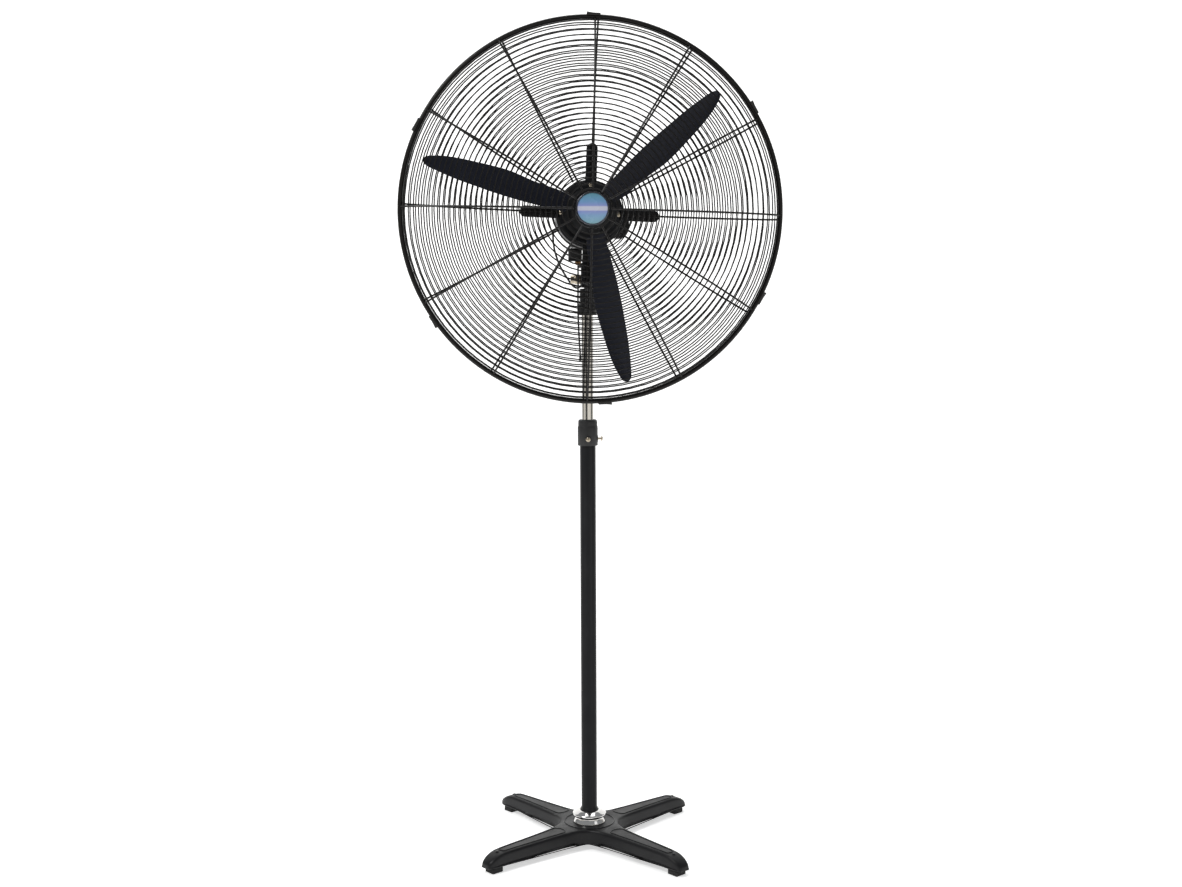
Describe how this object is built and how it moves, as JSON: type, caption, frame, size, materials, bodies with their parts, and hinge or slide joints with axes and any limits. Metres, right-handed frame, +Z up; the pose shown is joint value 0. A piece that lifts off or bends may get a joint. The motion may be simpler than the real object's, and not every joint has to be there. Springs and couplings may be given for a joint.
{
  "type": "pedestal fan",
  "caption": "Tall pedestal fan with wire guards, narrow paddle blades, oscillating tilting head, telescopic column and cross base.",
  "frame": {"origin": "on the floor, at the middle of the fan's outline seen from above; the column axis stands 39.84 mm behind it", "axes": "+Z up along the column; the fan blows towards -Y; +X is to the right of a person facing it"},
  "size_m": [0.8254, 0.5807, 1.8944],
  "materials": {
    "cast_iron_black": "black satin paint over iron casting",
    "paint_black": "black semi-gloss powder coat",
    "wire_black": "black powder-coated steel wire",
    "blade_black": "black-grey painted sheet aluminium",
    "plastic_black": "moulded black ABS",
    "rubber_black": "matt black rubber",
    "chrome": "polished chrome plate",
    "zinc_steel": "bright zinc plate",
    "steel": "turned steel",
    "brass": "turned brass",
    "copper_winding": "varnished copper winding on laminated steel",
    "badge": "brushed aluminium disc, plain"
  },
  "bodies": {
    "stand": {"base_cross": "cast_iron_black", "foot_pad_1": "rubber_black", "foot_pad_2": "rubber_black", "foot_pad_3": "rubber_black", "foot_pad_4": "rubber_black", "column_bolt": "zinc_steel", "outer_column": "paint_black", "column_flange_ring": "chrome", "height_collar": "plastic_black"},
    "front_screw": {"height_screw_front": "zinc_steel"},
    "side_screw": {"height_screw_side": "zinc_steel"},
    "mast": {"inner_tube": "chrome", "guide_bush": "plastic_black", "pole_socket": "paint_black"},
    "neck": {"tilt_neck": "paint_black", "tilt_nut": "zinc_steel", "pull_switch_body": "plastic_black", "switch_nipple": "brass", "lead_gland_neck": "rubber_black", "mains_gland": "rubber_black"},
    "tilt_grip": {"tilt_bolt": "zinc_steel"},
    "plunger": {"switch_plunger": "brass"},
    "pull": {"pull_cord": "plastic_black", "pull_cord_end": "plastic_black"},
    "head": {"motor_front_shield": "paint_black", "motor_housing": "paint_black", "motor_rear_shield": "paint_black", "front_bearing": "steel", "rear_bearing": "steel", "stator": "copper_winding", "terminal_box": "plastic_black", "gearbox_housing": "paint_black", "gearbox_cover": "paint_black", "swing_pin": "steel", "rear_guard": "wire_black", "front_guard": "wire_black", "guard_badge": "badge", "guard_spider": "paint_black", "spider_screw_1": "zinc_steel", "spider_screw_2": "zinc_steel", "spider_screw_3": "zinc_steel", "spider_screw_4": "zinc_steel", "motor_lead": "rubber_black"},
    "rotor": {"motor_shaft": "steel", "rotor_core": "steel", "blade_hub": "paint_black", "fan_blade_1": "blade_black", "fan_blade_2": "blade_black", "fan_blade_3": "blade_black", "hub_nut": "zinc_steel"},
    "crank": {"worm_wheel": "brass", "crank_disc": "steel"},
    "link": {"link_rod": "steel"},
    "clutch": {"clutch_knob": "plastic_black"},
    "clip_1": {"guard_clip_1": "zinc_steel"},
    "clip_2": {"guard_clip_2": "zinc_steel"},
    "clip_3": {"guard_clip_3": "zinc_steel"},
    "clip_4": {"guard_clip_4": "zinc_steel"},
    "clip_5": {"guard_clip_5": "zinc_steel"},
    "clip_6": {"guard_clip_6": "zinc_steel"}
  },
  "joints": [
    {"name": "height_slide", "type": "slide", "parent": "stand", "child": "mast", "axis": [0, 0, 1], "range_m": [-0.13, 0.1]},
    {"name": "front_screw_turn", "type": "hinge", "parent": "stand", "child": "front_screw", "pos_m": [0, 0.01284, 0.967], "axis": [0, -1, 0], "range_deg": [-360, 360]},
    {"name": "side_screw_turn", "type": "hinge", "parent": "stand", "child": "side_screw", "pos_m": [0.03, 0.03984, 0.967], "axis": [1, 0, 0], "range_deg": [-360, 360]},
    {"name": "tilt", "type": "hinge", "parent": "mast", "child": "neck", "pos_m": [0, 0.03984, 1.338], "axis": [1, 0, 0], "range_deg": [-15, 20]},
    {"name": "tilt_grip_turn", "type": "hinge", "parent": "neck", "child": "tilt_grip", "pos_m": [-0.03, 0.03984, 1.338], "axis": [-1, 0, 0], "range_deg": [-180, 180]},
    {"name": "cord_pull", "type": "slide", "parent": "neck", "child": "plunger", "axis": [0, 0, -1], "range_m": [0, 0.008], "stiffness_N_per_m": 300},
    {"name": "cord_hang", "type": "hinge", "parent": "plunger", "child": "pull", "pos_m": [-0.0215, 0.01584, 1.37], "axis": [1, 0, 0], "range_deg": [-21, 16]},
    {"name": "swing", "type": "hinge", "parent": "neck", "child": "head", "pos_m": [0, 0.03984, 1.4], "axis": [0, 0, 1], "range_deg": [-33, 33], "deforming": ["motor_lead"]},
    {"name": "rotor_spin", "type": "hinge", "parent": "head", "child": "rotor", "pos_m": [0, -0.19516, 1.477], "axis": [0, 1, 0], "continuous": true},
    {"name": "crank_spin", "type": "hinge", "parent": "head", "child": "crank", "pos_m": [0.0205, 0.01984, 1.42], "axis": [0, 0, 1], "continuous": true},
    {"name": "link_pivot", "type": "hinge", "parent": "neck", "child": "link", "pos_m": [0.0205, 0.05984, 1.385], "axis": [0, 0, 1], "range_deg": [-17, 17]},
    {"name": "clutch_pull", "type": "slide", "parent": "head", "child": "clutch", "axis": [0, 0, 1], "range_m": [0, 0.008]},
    {"name": "clip_1_open", "type": "hinge", "parent": "head", "child": "clip_1", "pos_m": [0.00725, -0.19016, 1.89264], "axis": [-0.9998, 0, 0.0175], "range_deg": [0, 95]},
    {"name": "clip_2_open", "type": "hinge", "parent": "head", "child": "clip_2", "pos_m": [0.35253, -0.19016, 1.69729], "axis": [-0.5299, 0, 0.848], "range_deg": [0, 95]},
    {"name": "clip_3_open", "type": "hinge", "parent": "head", "child": "clip_3", "pos_m": [0.37039, -0.19016, 1.28828], "axis": [0.454, 0, 0.891], "range_deg": [0, 95]},
    {"name": "clip_4_open", "type": "hinge", "parent": "head", "child": "clip_4", "pos_m": [0.029, -0.19016, 1.06231], "axis": [0.9976, 0, 0.0698], "range_deg": [0, 95]},
    {"name": "clip_5_open", "type": "hinge", "parent": "head", "child": "clip_5", "pos_m": [-0.34218, -0.19016, 1.24095], "axis": [0.5678, 0, -0.8231], "range_deg": [0, 95]},
    {"name": "clip_6_open", "type": "hinge", "parent": "head", "child": "clip_6", "pos_m": [-0.37299, -0.19016, 1.66053], "axis": [-0.4415, 0, -0.8973], "range_deg": [0, 95]}
  ],
  "couplings": [
    {"joint": "crank_spin", "follows": "rotor_spin", "ratio": 0.045455},
    {"joint": "link_pivot", "follows": "swing", "ratio": 0.5},
    {"joint": "cord_hang", "follows": "tilt", "ratio": -1}
  ]
}
